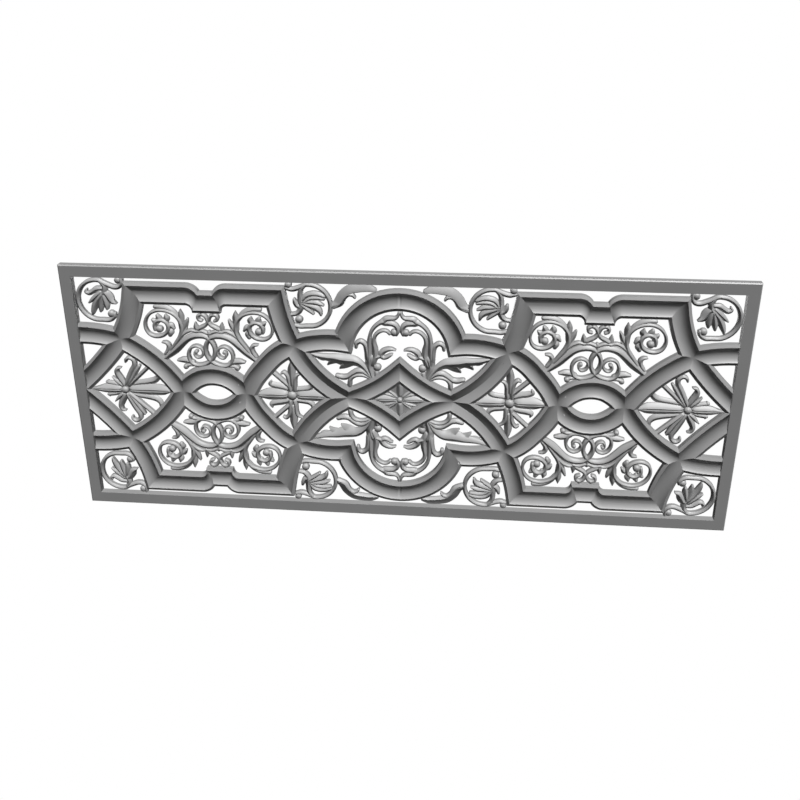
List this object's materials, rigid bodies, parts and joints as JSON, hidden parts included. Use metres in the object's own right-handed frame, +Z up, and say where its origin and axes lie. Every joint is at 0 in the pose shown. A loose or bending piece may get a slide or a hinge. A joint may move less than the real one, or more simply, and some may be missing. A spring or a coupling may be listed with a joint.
{
  "type": "carved panel",
  "caption": "Upright rectangular carved panel: scrolls, leaves and flowers pierced between scooped interlaced straps inside a plain flat frame, to be hung or fixed by its back.",
  "frame": {"origin": "centre of the flat back, behind the rosette", "axes": "+X to the right along the panel, +Z up, the carved face looks along -Y and the flat back lies on y = 0"},
  "size_m": [1, 0.0125, 0.395],
  "materials": {
    "painted_wood": "even mid-grey satin paint over smooth carved wood"
  },
  "bodies": {
    "root": {"frame": "painted_wood", "openwork": "painted_wood"}
  },
  "joints": []
}
